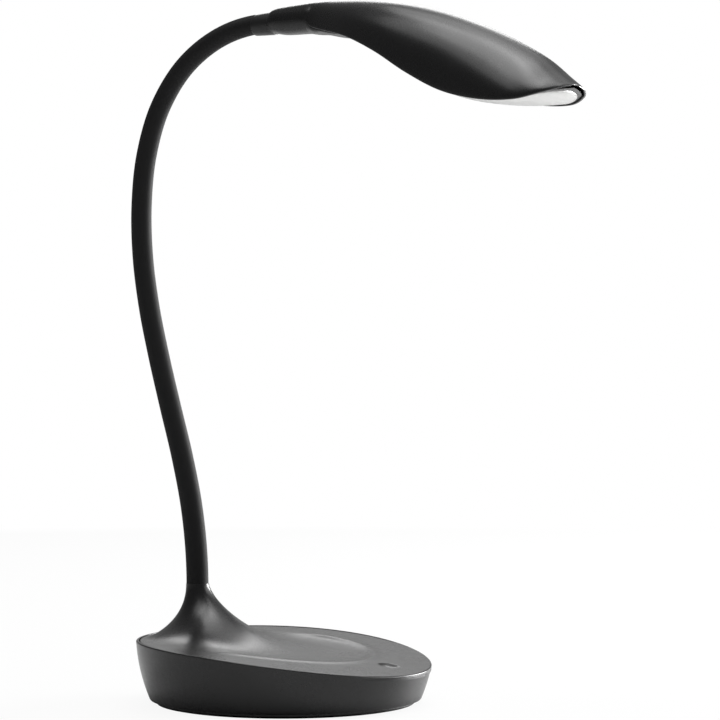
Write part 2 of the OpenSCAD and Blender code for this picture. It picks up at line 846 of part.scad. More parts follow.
module lower_cover() {
    rows = [for (i = [0:tongue_rows]) tongue_row((len(TONGUE) - 1) * i / tongue_rows)];
    color(soft_black)
    on_head()
        sheet(
            [for (r = rows) arch(r[0], r[1] - tongue_t, r[2] + tongue_t, r[3])],
            [for (r = rows) arch(r[0], r[1], r[2], r[3])]
        );
}

// ---------- head: light unit ----------
unit_from = 0.435;      // start of the bezel, as a share of the length
unit_rows = 28;
bezel_t = 1.6;
tip_land = 6.4;         // length of the hood's tip in front of the bezel
bezel_gap = 0.4;

// Row u of the opening, from 0 at the neck's side to 1 at the tip, inset by gap:
// [x, half width, rim]. The width is the hood's inside at the height of the bezel's back.
function opening(u, gap) =
    let (
        x0 = unit_from * head_len + gap,
        x1 = head_len - tip_land - gap,
        share = -cos(180 * u),
        x = (x0 + x1 + (x1 - x0) * share) / 2,
        h = hood_at(x),
        side = hood_at(x + shell_t * pow(max(0, share), 4)),
        room = side[2] - side[3] - 1.3 * shell_t,
        narrow = pow(1 - pow(min(1, (bezel_recess + bezel_t) / room), fullness), 1 / fullness),
        blunt = sqrt(1 - pow(share, 16))
    )
    [x, max(0.6, ((side[1] - shell_t) * narrow - bezel_gap - gap) * blunt), h[3]];

// Closed outline of the opening, with the height lift over the rim.
function outline(gap, lift) =
    concat(
        [for (i = [0:unit_rows]) let (o = opening(i / unit_rows, gap)) [o[0], o[1], o[2] + lift]],
        [for (i = [unit_rows:-1:0]) let (o = opening(i / unit_rows, gap)) [o[0], -o[1], o[2] + lift]]
    );

module lens_bezel() {
    outer_low = outline(0, bezel_recess);
    outer_top = outline(0, bezel_recess + bezel_t);
    inner_top = outline(bezel_w, bezel_recess + bezel_t);
    inner_low = outline(bezel_w, bezel_recess);
    color(pad_black)
    on_head()
        ring_skin([for (i = [0:len(outer_low) - 1])
            [outer_low[i], outer_top[i], inner_top[i], inner_low[i]]]);
}

lens_gap = 0.2;
lens_cols = 8;
lens_full_w = head_w / 2 - shell_t - bezel_w - 1;     // half width at which the lens is fully domed
lens_start = 30;                                      // length in which its dome rises

// Depth of the lens's dome at row u across the share v of its half width.
function dome(u, v) =
    let (
        r = opening(u, bezel_w + lens_gap),
        rise = min(1, (r[0] - opening(0, bezel_w)[0]) / lens_start)
    )
    lens_bulge * (1 - pow(v, 4)) * min(1, r[1] / lens_full_w) * rise * (2 - rise);

module lens() {
    domed = [for (i = [0:unit_rows])
        let (u = i / unit_rows, r = opening(u, bezel_w + lens_gap))
        [for (j = [-lens_cols:lens_cols])
            let (v = j / lens_cols)
            [r[0], r[1] * v, r[2] + bezel_recess + bezel_t - dome(u, v)]]];
    color(milk_white)
    on_head()
        sheet(domed, [for (row = domed) [for (p = row) p - [0, 0, lens_t]]]);
}

led_l = 56;
led_w = 18;
led_t = 1.6;
led_count = 9;
led_row = 5.4;          // distance of each row of LEDs from the board's middle
led_lift = 13;          // height of the board's middle over the rim
led_x = head_len * 0.745;
led_z = hood_at(led_x)[3] + led_lift;
led_tilt = 14;
spreader_t = 1.2;
led_screw_x = led_l / 2 - 12;
led_screw_hole = 2.4;

// Children lie on the lower face of the LED board, with +Z up.
module on_led_board() {
    on_head() translate([led_x, 0, led_z]) rotate([0, led_tilt, 0]) children();
}

module led_board() {
    color(milk_white)
    on_led_board()
        difference() {
            translate([-led_l / 2, -led_w / 2, 0]) cube([led_l, led_w, led_t]);
            at_led_screws() translate([0, 0, -eps]) cylinder(d = led_screw_hole, h = led_t + 1);
        }
}

module at_led_screws() {
    for (s = [-1, 1]) translate([s * led_screw_x, 0, 0]) children();
}

module leds() {
    pitch = (led_l - 6) / led_count;
    color([0.95, 0.85, 0.45])
    on_led_board()
        for (i = [0:led_count - 1], s = [-1, 1])
            translate([(i - (led_count - 1) / 2) * pitch - 1.4, s * led_row - 1.75, -0.8])
                cube([2.8, 3.5, 0.8]);
}

module heat_spreader() {
    color([0.75, 0.76, 0.78])
    on_led_board()
        difference() {
            translate([-led_l / 2 - 1.5, -led_w / 2 - 1, led_t])
                cube([led_l + 3, led_w + 2, spreader_t]);
            at_led_screws() translate([0, 0, led_t - eps]) cylinder(d = led_screw_hole, h = spreader_t + 1);
        }
}

standoff_reach = 15;     // about how far a standoff reaches, for the lean of its top

// Height from the heat spreader's back to the inside of the hood above screw s.
function standoff_h(s) =
    let (
        x = led_x + s * led_screw_x * cos(led_tilt),
        top = hood_at(x + standoff_reach * sin(led_tilt))[2] - shell_t - 1.5,
        low = led_z - s * led_screw_x * sin(led_tilt) + led_t + spreader_t
    )
    top - low;

module led_standoffs() {
    color(steel)
    on_led_board()
        for (s = [-1, 1]) translate([s * led_screw_x, 0, led_t + spreader_t])
            difference() {
                cylinder(d = 4.4, h = standoff_h(s));
                translate([0, 0, -eps]) cylinder(d = 2, h = 4.5);
            }
}

module led_screws() {
    color(steel)
    on_led_board()
        at_led_screws() translate([0, 0, -1.3]) pan_screw(1.9, 3.8, 1.3, 1.3 + led_t + spreader_t + 3.5);
}

reflector_t = 0.8;
reflector_keep = [0.64, 0.56];                       // how far its upper edge is drawn in

// Point p of the reflector's lower edge, drawn in to its upper edge under the LED board.
function drawn_in(p) =
    let (x = led_x + (p[0] - led_x) * reflector_keep[0])
    [x, p[1] * reflector_keep[1], led_z - (x - led_x) * tan(led_tilt) - reflector_t - 0.4];

module reflector() {
    low = outline(bezel_w - 0.6, bezel_recess + bezel_t + 0.2);
    up = [0, 0, reflector_t];
    color(milk_white)
    on_head()
        ring_skin([for (p = low) [p + up, drawn_in(p) + up, drawn_in(p), p]]);
}

module head_wires() {
    board_end = [
        led_x - led_l / 2 * cos(led_tilt) + 3,
        0,
        led_z + led_l / 2 * sin(led_tilt) + led_t + spreader_t + wire_d
    ];
    color(wire_red)
    on_head()
        for (s = [-1, 1]) {
            side = [0, 1.2 * s, 0];
            wire([
                [ferrule_len - 2, 0.7 * s, (ferrule_len - 2) * tan(ferrule_tilt)],
                [ferrule_len + 8, 1.2 * s, 2.6],
                [head_len * 0.30, 1.2 * s, 2],
                [head_len * 0.40, 1.2 * s, -6],
                board_end + side
            ]);
        }
}

base_shell();
base_top_cover();
base_bottom_cover();
foot_pad();
base_screws();
ballast_weight();
ballast_screws();
control_board();
board_parts();
board_spacers();
board_screws();
touch_pad();
touch_lead();
power_inlet();
inlet_wires();
neck_anchor();
anchor_washer();
anchor_nut();
base_neck_wires();
neck_core(0);  // neck_core_00
neck_core(1);  // neck_core_01
neck_core(2);  // neck_core_02
neck_core(3);  // neck_core_03
neck_core(4);  // neck_core_04
neck_core(5);  // neck_core_05
neck_core(6);  // neck_core_06
neck_core(7);  // neck_core_07
neck_core(8);  // neck_core_08
neck_core(9);  // neck_core_09
neck_core(10);  // neck_core_10
neck_core(11);  // neck_core_11
neck_core(12);  // neck_core_12
neck_sleeve(0);  // neck_sleeve_00
neck_sleeve(1);  // neck_sleeve_01
neck_sleeve(2);  // neck_sleeve_02
neck_sleeve(3);  // neck_sleeve_03
neck_sleeve(4);  // neck_sleeve_04
neck_sleeve(5);  // neck_sleeve_05
neck_sleeve(6);  // neck_sleeve_06
neck_sleeve(7);  // neck_sleeve_07
neck_sleeve(8);  // neck_sleeve_08
neck_sleeve(9);  // neck_sleeve_09
neck_sleeve(10);  // neck_sleeve_10
neck_sleeve(11);  // neck_sleeve_11
neck_sleeve(12);  // neck_sleeve_12
neck_collar();
head_ferrule();
ferrule_bush();
head_shell();
lower_cover();
lens_bezel();
lens();
reflector();
led_board();
leds();
heat_spreader();
led_standoffs();
led_screws();
head_wires();
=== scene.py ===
"""Gooseneck desk lamp: the finished surfaces, stage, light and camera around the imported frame.

The lamp stands on the table at the origin, +X points to its front, under the head, +Z up. Sizes that a
user would change are in metres in the property groups; the tables of stations are shares of them.
"""

import json
import math

import bpy
from mathutils import Matrix, Vector


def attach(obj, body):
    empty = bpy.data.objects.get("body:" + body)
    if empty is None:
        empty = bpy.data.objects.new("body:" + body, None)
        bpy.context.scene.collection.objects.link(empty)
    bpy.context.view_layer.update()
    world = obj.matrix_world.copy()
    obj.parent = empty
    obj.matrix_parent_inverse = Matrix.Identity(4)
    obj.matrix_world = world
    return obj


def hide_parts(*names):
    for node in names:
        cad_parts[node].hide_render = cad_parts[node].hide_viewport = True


bl_info = {
    "name": "Gooseneck desk lamp",
    "version": (1, 0, 0),
    "blender": (4, 5, 0),
    "location": "View3D > Sidebar > Desk Lamp",
    "description": "Builds the finished surfaces of a gooseneck desk lamp around its packed frame",
    "category": "Object",
}

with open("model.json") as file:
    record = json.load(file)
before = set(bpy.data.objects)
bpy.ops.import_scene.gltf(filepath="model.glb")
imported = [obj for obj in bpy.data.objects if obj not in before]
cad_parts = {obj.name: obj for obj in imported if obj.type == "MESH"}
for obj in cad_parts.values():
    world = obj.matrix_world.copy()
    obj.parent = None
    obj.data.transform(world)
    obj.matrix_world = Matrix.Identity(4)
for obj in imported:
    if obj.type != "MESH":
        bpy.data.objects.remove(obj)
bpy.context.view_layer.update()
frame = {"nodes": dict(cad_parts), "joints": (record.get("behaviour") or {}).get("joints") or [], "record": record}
JOINTS = frame["joints"]
MM = 0.001

# ---------------------------------------------------------------------------
# Sizes and colours
# ---------------------------------------------------------------------------


def length(name, default, description):
    """A size in metres that a user may change."""
    return bpy.props.FloatProperty(
        name=name, description=description, default=default, min=0.0, precision=5,
        subtype="DISTANCE", unit="LENGTH",
    )


def colour(name, default, description):
    """A colour that a user may change."""
    return bpy.props.FloatVectorProperty(
        name=name, description=description, default=default, min=0.0, max=1.0, size=3,
        subtype="COLOR",
    )


def angle(name, degrees, description):
    """An angle that a user may change."""
    return bpy.props.FloatProperty(
        name=name, description=description, default=math.radians(degrees), subtype="ANGLE"
    )


def share(name, default, description):
    """A plain number from 0 to 1."""
    return bpy.props.FloatProperty(
        name=name, description=description, default=default, min=0.0, max=1.0, precision=3
    )


class BaseSizes(bpy.types.PropertyGroup):
    """Sizes of the round base and of the fairing that rises from it to the neck."""

    radius: length("Radius", 0.0775, "Radius of the base at its rim")
    crown_height: length("Crown height", 0.033, "Height of the crowned top at its highest line")
    crown_radius: length("Crown radius", 0.776, "Radius of the crown, a cylinder lying across the base")
    crown_back: length("Crown set-back", 0.071, "Distance of the crown's highest line behind the centre")
    wall_curve: length("Wall curve", 0.090, "Radius of the curve that the side wall follows")
    wall: length("Wall", 0.0024, "Thickness of the side wall and of the top cover")
    lip: length("Lip", 0.0015, "Width of the rim that stands around the top cover")
    seam: length("Seam", 0.0004, "Gap between the rim and the top cover")
    sink: length("Cover step", 0.00025, "Depth of the top cover's face under the rim")
    foot_height: length("Foot height", 0.0025, "Height of the recessed foot below the side wall")
    dish_radius: length("Dish radius", 0.051, "Radius of the shallow dish at its raised edge")
    dish_depth: length("Dish depth", 0.0024, "Depth of the dish")
    dish_bead: length("Dish edge", 0.00070, "Height of the rounded edge around the dish")
    dish_back: length("Dish set-back", 0.006, "Distance of the dish's centre behind the base's")
    dish_slope: length("Dish slope", 0.0240, "Width of the cove that runs down from the dish's edge")
    touch_front: length("Touch spot place", 0.0585, "Distance of the touch spot in front of the centre")
    touch_radius: length("Touch spot radius", 0.0055, "Radius of the touch spot's hollow")
    touch_depth: length("Touch spot depth", 0.0014, "Depth of the touch spot's hollow")
    fairing_back: length("Fairing back", 0.024, "Reach of the fairing behind the neck")
    fairing_front: length("Fairing front", 0.070, "Reach of the fairing in front of the neck")


class NeckSizes(bpy.types.PropertyGroup):
    """Sizes of the sleeve on the bendable neck."""

    root_back: length("Root set-back", 0.0515, "Distance of the neck's root behind the centre")
    root_height: length("Root height", 0.060, "Height at which the sleeve leaves the fairing")
    root_radius: length("Radius at the root", 0.0058, "Radius of the sleeve at the root")
    top_radius: length("Radius at the head", 0.00515, "Radius of the sleeve at the head")
    bore_radius: length("Bore radius", 0.00325, "Radius of the sleeve's bore around the friction tube")


class HeadSizes(bpy.types.PropertyGroup):
    """Sizes of the leaf-shaped head."""

    length: length("Length", 0.188, "Length of the head from the end of the sleeve")
    width: length("Width", 0.064, "Width of the head at its widest")
    depth: length("Depth", 0.0565, "Depth of the head from its back to its rim")
    shell: length("Shell", 0.0019, "Thickness of the upper shell")
    bezel: length("Bezel width", 0.003, "Width of the bezel around the lens")
    recess: length("Bezel recess", 0.0010, "Height of the bezel's face above the rim")
    lens: length("Lens thickness", 0.002, "Thickness of the lens")
    bulge: length("Lens bulge", 0.0026, "How far the middle of the lens bulges")
    roll: angle("Roll", 1.0, "Turn of the head about its own length")
    yaw: angle("Side turn", 8.0, "Turn of the head to the side from the end of the neck")


class Finishes(bpy.types.PropertyGroup):
    """Colours of the visible finishes."""

    soft_black: colour("Soft-touch black", (0.010, 0.010, 0.0105), "Coating of the base and the head")
    sleeve_black: colour("Sleeve black", (0.012, 0.012, 0.0125), "Rubber sleeve of the neck")
    trim_black: colour("Trim black", (0.010, 0.010, 0.0105), "Moulded trim: collar, bezel and socket")
    opal_white: colour("Opal white", (0.66, 0.66, 0.65), "Lens of the lamp")
    dust_grey: colour("Dust grey", (0.30, 0.29, 0.28), "Dust that settles on surfaces that face up")
    dust: share("Dust", 0.03, "How much dust lies on surfaces that face up")
    floor: colour("Floor", (0.86, 0.86, 0.86), "Pale floor of the stage")


def sizes(group):
    """One of the scene's groups of sizes or colours."""
    return getattr(bpy.context.scene, group)


# ---------------------------------------------------------------------------
# Modelling helpers
# ---------------------------------------------------------------------------


def nothing_selected():
    """Starts a piece with nothing selected, because an operator acts on all that is."""
    if bpy.context.object and bpy.context.object.mode != "OBJECT":
        bpy.ops.object.mode_set(mode="OBJECT")
    bpy.ops.object.select_all(action="DESELECT")


def finish_surface(piece, sharp=30.0):
    """Merges seams and poles, turns the faces outwards and smooths all but the sharp edges."""
    bpy.ops.object.mode_set(mode="EDIT")
    bpy.ops.mesh.select_all(action="SELECT")
    bpy.ops.mesh.remove_doubles(threshold=2e-6)
    bpy.ops.mesh.normals_make_consistent(inside=False)
    bpy.ops.object.mode_set(mode="OBJECT")
    bpy.ops.object.shade_smooth_by_angle(angle=math.radians(sharp))
    return piece


def loft(name, sections, sharp=30.0):
    """A grid primitive wrapped over a run of like sections, each a list of points in millimetres."""
    rows, columns = len(sections) - 1, len(sections[0]) - 1
    nothing_selected()
    bpy.ops.mesh.primitive_grid_add(x_subdivisions=rows, y_subdivisions=columns, size=1)
    piece = bpy.context.object
    piece.name = piece.data.name = name
    for vertex in piece.data.vertices:
        row, column = round((vertex.co.x + 0.5) * rows), round((vertex.co.y + 0.5) * columns)
        vertex.co = Vector(sections[row][column]) * MM
    return finish_surface(piece, sharp)


def spread(low, high, count):
    """count steps from low to high."""
    return [low + (high - low) * i / count for i in range(count + 1)]


def corner(centre, radius, start, end, steps=4):
    """Points of a rounded corner in a section, angles in degrees."""
    return [
        (centre[0] + radius * math.cos(a), centre[1] + radius * math.sin(a))
        for a in spread(math.radians(start), math.radians(end), steps)
    ]


def eased(t):
    """0 below 0, 1 above 1 and smooth between."""
    t = min(1.0, max(0.0, t))
    return t * t * (3 - 2 * t)


def above_zero(t, soft):
    """t well above 0, 0 well below it, and rounded over about soft in between."""
    return math.log1p(math.exp(t / soft)) * soft


def through(rows, s):
    """Smooth curve through the rows of a table, at row s."""
    last = len(rows) - 1
    i = min(last - 1, max(0, int(s)))
    t = s - i
    a, b, c, d = rows[max(0, i - 1)], rows[i], rows[i + 1], rows[min(last, i + 2)]
    return [
        0.5 * (
            2 * q + t * (r - p) + t * t * (2 * p - 5 * q + 4 * r - o)
            + t ** 3 * (3 * q - p - 3 * r + o)
        )
        for p, q, r, o in zip(a, b, c, d)
    ]


# ---------------------------------------------------------------------------
# Shapes of the base, in millimetres
# ---------------------------------------------------------------------------

UPRIGHT_OVER = 5       # height over the crown at which the side wall's curve would stand upright
EDGE_SOFT = 1.5        # rounding where the cove meets the dish's edge and the fairing meets the rim
EDGE_ROOM = 1.2        # room between the fairing's foot and the rim
BEAD_WIDTH = 3.2       # half width of the dish's raised edge
DISH_FADE = (-42, 30)  # start and length of the stretch in which the dish fades in behind the middle
BEAD_FADE = (-20, 20)  # the same for the dish's raised edge
TOUCH_EDGE = 0.5       # width of the soft edge around the touch hollow


def wall_radius(z):
    """Outer radius of the side wall at height z."""
    base = sizes("lamp_base")
    curve, upright = base.wall_curve / MM, base.crown_height / MM + UPRIGHT_OVER
    rim = math.sqrt(curve ** 2 - (base.crown_height / MM - upright) ** 2)
    return base.radius / MM + math.sqrt(curve ** 2 - (z - upright) ** 2) - rim


def crown(x, drop=0.0):
    """Height of the crowned top above x, sunk by drop."""
    base = sizes("lamp_base")
    radius = base.crown_radius / MM
    rise = math.sqrt((radius - drop) ** 2 - (x + base.crown_back / MM) ** 2)
    return base.crown_height / MM - radius + rise


def top_surface(x, y):
    """Height of the top cover with its dish and touch hollow, without the fairing."""
    base = sizes("lamp_base")
    z = crown(x) - base.sink / MM
    inwards = base.dish_radius / MM - math.hypot(x + base.dish_back / MM, y)
    cove = 1 - min(1.0, above_zero(inwards, EDGE_SOFT) / (base.dish_slope / MM))
    bead = math.exp(-((inwards / BEAD_WIDTH) ** 2))
    z -= base.dish_depth / MM * (1 - cove ** 2) * eased((x - DISH_FADE[0]) / DISH_FADE[1])
    z += base.dish_bead / MM * bead * eased((x - BEAD_FADE[0]) / BEAD_FADE[1])
    touch = base.touch_radius / MM
    from_touch = math.hypot(x - base.touch_front / MM, y)
    if from_touch < touch + TOUCH_EDGE:
        bowl = max(0.0, 1 - (from_touch / touch) ** 2)
        rim = eased((touch + TOUCH_EDGE - from_touch) / 1.4)
        z -= base.touch_depth / MM * (0.75 * bowl + 0.25 * rim)
    return z


def fairing_reach(angle, far):
    """Reach of the fairing from the neck's axis, kept inside the cover's edge at far.

    Angle 0 is to the front."""
    base = sizes("lamp_base")
    back, front = base.fairing_back / MM, base.fairing_front / MM
    reach = back + (front - back) * ((1 + math.cos(angle)) / 2) ** 1.25
    room = far - EDGE_ROOM
    return room - above_zero(room - reach, EDGE_SOFT)


# ---------------------------------------------------------------------------
# Shapes of the neck, in millimetres
# ---------------------------------------------------------------------------

HEAD_FOOT = Vector((-17.77, 0.0, 352.18))  # end of the sleeve, where the head's own frame starts
SLEEVE_START, SLEEVE_OVER = -2.0, 1.0      # the sleeve starts inside the fairing and ends inside the collar
SLEEVE_TURNS = 48                          # faces around the sleeve

# Outline of the collar: distance from the end of the sleeve, and radius over the sleeve's.
COLLAR = [
    (0.5, 0.0), (0.8, 0.15), (1.4, 0.3), (6.0, 0.55), (12.9, 0.8),
    (13.0, -0.5), (17.0, -0.8),            # hidden end inside the head
]
COLLAR_BORE = 2.9    # radius of its bore
COLLAR_DROP = 0.4    # its axis starts this far under the sleeve's,
COLLAR_RISE = 0.033  # and rises by this share of the distance


def neck_points():
    """Points on the neck's axis from its root through the joints to the head."""
    neck = sizes("lamp_neck")
    root = Vector((-neck.root_back / MM, 0, neck.root_height / MM))
    return [root] + [Vector(joint["pos_m"]) / MM for joint in JOINTS] + [HEAD_FOOT]


def neck_curve():
    """Stations of the axis: its points, their distances along it and its directions there."""
    points = neck_points()
    along = [0.0]
    for a, b in zip(points, points[1:]):
        along.append(along[-1] + (b - a).length)
    slopes = [(b - a) / (t - s) for a, b, s, t in zip(points, points[1:], along, along[1:])]
    directions = [Vector((0, 0, 1))]
    for i in range(1, len(points) - 1):
        before, after = along[i] - along[i - 1], along[i + 1] - along[i]
        directions.append((slopes[i - 1] * after + slopes[i] * before) / (before + after))
    directions.append(slopes[-1] * 2 - directions[-1])
    return points, along, directions


def on_neck(s):
    """Point and direction of the neck's axis at distance s from its root."""
    points, along, directions = neck_curve()
    first, last = directions[0], directions[-1].normalized()
    if s < 0:
        return points[0] + first * s, first
    if s > along[-1]:
        return points[-1] + last * (s - along[-1]), last
    i = 0
    while i < len(points) - 2 and s > along[i + 1]:
        i += 1
    span = along[i + 1] - along[i]
    t = (s - along[i]) / span
    p, q, m, n = points[i], points[i + 1], directions[i] * span, directions[i + 1] * span
    place = p * (2 * t ** 3 - 3 * t ** 2 + 1) + m * (t ** 3 - 2 * t ** 2 + t)
    place = place + q * (3 * t ** 2 - 2 * t ** 3) + n * (t ** 3 - t ** 2)
    slope = (p - q) * (6 * t ** 2 - 6 * t)
    slope = slope + m * (3 * t ** 2 - 4 * t + 1) + n * (3 * t ** 2 - 2 * t)
    return place, slope.normalized()


def neck_ring(s, radius, dome=0.0):
    """Points around the neck's axis at distance s from its root.

    With dome, the ring of a ball there instead, at that angle from the ball's middle."""
    place, ahead = on_neck(s)
    across = Vector((0, 1, 0))
    out = ahead.cross(across)
    place = place + ahead * radius * math.sin(dome)
    radius = radius * math.cos(dome)
    return [
        place + radius * (math.cos(a) * out + math.sin(a) * across)
        for a in spread(0, 2 * math.pi, SLEEVE_TURNS)
    ]


# ---------------------------------------------------------------------------
# Shapes of the head, in millimetres in its own frame: origin at the end of the sleeve, +X along it
# ---------------------------------------------------------------------------

# Stations of the hood: share of the length, share of the half width, and the heights of its
# back and of its rim over the neck's axis as shares of the depth.
HOOD = [
    (0.061, 0.205, 0.098, -0.028),
    (0.067, 0.228, 0.118, -0.012),
    (0.090, 0.242, 0.138, 0.000),
    (0.180, 0.266, 0.160, -0.004),
    (0.198, 0.275, 0.1625, -0.020),
    (0.214, 0.290, 0.1645, -0.066),
    (0.250, 0.360, 0.165, -0.103),
    (0.360, 0.620, 0.149, -0.195),
    (0.470, 0.800, 0.106, -0.354),
    (0.580, 0.920, 0.026, -0.563),
    (0.690, 0.985, -0.092, -0.737),
    (0.800, 1.000, -0.250, -0.826),
    (0.900, 0.965, -0.434, -0.842),
    (0.960, 0.750, -0.600, -0.790),
    (0.990, 0.420, -0.680, -0.742),
    (1.000, 0.120, -0.701, -0.715),
]

# Stations of the lower cover: share of the length, height of its edge over the rim, and how far
# its middle hangs below the edge, as shares of the depth.
TONGUE = [
    (0.070, 0.014, 0.104),
    (0.110, 0.014, 0.129),
    (0.180, 0.014, 0.127),
    (0.198, 0.008, 0.112),
    (0.214, -0.006, 0.060),
    (0.250, -0.006, 0.034),
    (0.305, -0.002, 0.032),
    (0.360, 0.014, 0.010),
    (0.425, 0.028, 0.004),
]

FULLNESS = 2.2            # 2 gives the hood an elliptic section, more a squarer one
UNIT_FROM = 0.435         # start of the bezel as a share of the length
BEZEL_T = 1.6             # height of the bezel
TIP_LAND = 1.0            # length of the hood's tip in front of the bezel
LIP = 1.1                 # width of the hood's lip beside the bezel
JOIN = 0.19               # share of the length up to which the lower cover runs flush into the hood
FLAT_FADE = (0.66, 0.32)  # start and length of the stretch in which the hood's shoulder flattens
FLAT_TIP = 0.65           # how flat its shoulder is at the tip
TONGUE_T = 1.5            # thickness of the lower cover
THINNEST = 0.12           # least share of their height that the bezel and the lens keep at the tip
FULL_UNDER = 12           # height of the hood over its rim from which they keep all of it
DOME_RISE = 30            # length over which the lens's dome rises from its start by the neck
DOME_FALL = 0.75          # share of the dome that is gone at the tip
DOME_FADE = (52, 46)      # where it starts to go, before the lens's end, and over what length
UNIT_ROWS = 72            # rows along the bezel and the lens


def in_lamp(sections):
    """Sections of the head's frame, placed in the lamp."""
    head = sizes("lamp_head")
    turned = Matrix.Rotation(-head.yaw, 4, "Z") @ Matrix.Rotation(head.roll, 4, "X")
    place = Matrix.Translation(HEAD_FOOT) @ turned
    return [[place @ Vector(point) for point in section] for section in sections]


def hood(s):
    """The hood at row s: distance from the neck, half width, height of its back and of its rim."""
    head = sizes("lamp_head")
    x, w, back, rim = through(HOOD, s)
    long, half, depth = head.length / MM, head.width / 2 / MM, head.depth / MM
    return x * long, w * half, back * depth, rim * depth


def hood_at(x):
    """The hood at distance x from the neck."""
    low, high = 0.0, len(HOOD) - 1.0
    for _ in range(28):
        middle = (low + high) / 2
        if hood(middle)[0] < x:
            low = middle
        else:
            high = middle
    return hood((low + high) / 2)


def arch(w, back, rim, steps, flat=0.0):
    """Arch of a section over the half width w, from the -Y side to the +Y side: (y, z) points.

    flat 0 gives upright sides at the rim, flat 1 a low dome."""
    points = []
    for a in spread(-math.pi / 2, math.pi / 2, steps):
        side = math.copysign(abs(math.sin(a)) ** (2 / FULLNESS), math.sin(a))
        height = (1 - flat) * max(0.0, math.cos(a)) ** (2 / FULLNESS) + flat * (1 - side ** 2)
        points.append((w * side, rim + (back - rim) * height))
    return points


def rounded_ends(s, last, first_span, last_span):
    """1 along a run of rows from 0 to last, running round to 0 over the spans at its two ends."""
    return math.sqrt(min(1.0, s / first_span)) * math.sqrt(min(1.0, (last - s) / last_span))


def lift_at(x):
    """Share of the bezel's and the lens's full height at distance x: they run thin at the tip."""
    _, _, back, rim = hood_at(x)
    return min(1.0, max(THINNEST, (back - rim - 0.8) / FULL_UNDER))


def opening(u, gap):
    """Row u of the opening, 0 at the neck's side and 1 at the tip, inset by gap: x, half width, rim."""
    head = sizes("lamp_head")
    x0 = UNIT_FROM * head.length / MM + gap
    x1 = head.length / MM - TIP_LAND - gap
    part = -math.cos(math.pi * u)      # from -1 to 1, with closer rows at both ends
    x = (x0 + x1 + (x1 - x0) * part) / 2
    w = hood_at(x + LIP * max(0.0, part) ** 4)[1]      # looks ahead by the lip at the tip
    blunt = math.sqrt(max(0.0, 1 - part ** 16))        # rounds both ends
    return x, max(0.4, (w - LIP - gap) * blunt), hood_at(x)[3]


def outline(gap, lift):
    """Closed outline of the opening, lifted over the rim."""
    half = [opening(u, gap) for u in spread(0, 1, UNIT_ROWS)]
    near = [(x, w, z + lift * lift_at(x)) for x, w, z in half]
    far = [(x, -w, z + lift * lift_at(x)) for x, w, z in reversed(half)]
    return near + far + near[:1]


# ---------------------------------------------------------------------------
# Materials
# ---------------------------------------------------------------------------


def node(tree, kind, inputs=None, **settings):
    """A node with its settings, and its inputs given a value or linked to an output."""
    new = tree.nodes.new(kind)
    for key, value in settings.items():
        setattr(new, key, value)
    for socket, value in (inputs or {}).items():
        if isinstance(value, bpy.types.NodeSocket):
            tree.links.new(value, new.inputs[socket])
        else:
            new.inputs[socket].default_value = value
    return new


def math_node(tree, operation, *values):
    """The output of a math node over values and outputs."""
    return node(tree, "ShaderNodeMath", dict(enumerate(values)), operation=operation).outputs[0]


def map_range(tree, value, low, high, to_low=0.0, to_high=1.0, **settings):
    """value, mapped from low and high to to_low and to_high."""
    inputs = {"Value": value, "From Min": low, "From Max": high, "To Min": to_low, "To Max": to_high}
    return node(tree, "ShaderNodeMapRange", inputs, **settings).outputs[0]


def new_group(name, inputs, outputs):
    """An empty shader node group with named sockets. Returns it, its input node and its output node."""
    group = bpy.data.node_groups.new(name, "ShaderNodeTree")
    for label, (kind, default) in inputs.items():
        socket = group.interface.new_socket(name=label, in_out="INPUT", socket_type=kind)
        socket.default_value = default
    for label, kind in outputs.items():
        group.interface.new_socket(name=label, in_out="OUTPUT", socket_type=kind)
    return group, group.nodes.new("NodeGroupInput"), group.nodes.new("NodeGroupOutput")


FLOAT, COLOUR = "NodeSocketFloat", "NodeSocketColor"
GRAIN_HEIGHT = 0.0002  # height of the grain at full strength, in metres


def moulded_grain():
    """Fine grain of a moulded or coated surface, with soft patches in its tone and its gloss."""
    group, given, put = new_group(
        "Moulded grain",
        {
            "Color": (COLOUR, (0.02, 0.02, 0.02, 1)),
            "Roughness": (FLOAT, 0.5),
            "Grain Scale": (FLOAT, 3000.0),
            "Patch Scale": (FLOAT, 40.0),
            "Tone Change": (FLOAT, 0.15),
            "Gloss Change": (FLOAT, 0.08),
        },
        {"Color": COLOUR, "Roughness": FLOAT, "Height": FLOAT},
    )
    place = node(group, "ShaderNodeTexCoord").outputs["Object"]
    grain_scale, patch_scale = given.outputs["Grain Scale"], given.outputs["Patch Scale"]
    grain = node(group, "ShaderNodeTexNoise", {"Vector": place, "Scale": grain_scale, "Detail": 2.0})
    patches = node(group, "ShaderNodeTexNoise", {"Vector": place, "Scale": patch_scale, "Detail": 4.0})
    swing = math_node(group, "SUBTRACT", patches.outputs["Fac"], 0.5)
    tone = math_node(group, "MULTIPLY_ADD", swing, given.outputs["Tone Change"], 1.0)
    tinted = node(
        group, "ShaderNodeVectorMath", {0: given.outputs["Color"], "Scale": tone}, operation="SCALE"
    )
    speckle = math_node(group, "SUBTRACT", grain.outputs["Fac"], 0.5)
    mixed = math_node(group, "ADD", swing, speckle)
    gloss_change, roughness = given.outputs["Gloss Change"], given.outputs["Roughness"]
    gloss = math_node(group, "MULTIPLY_ADD", mixed, gloss_change, roughness)
    group.links.new(tinted.outputs[0], put.inputs["Color"])
    group.links.new(gloss, put.inputs["Roughness"])
    group.links.new(grain.outputs["Fac"], put.inputs["Height"])
    return group


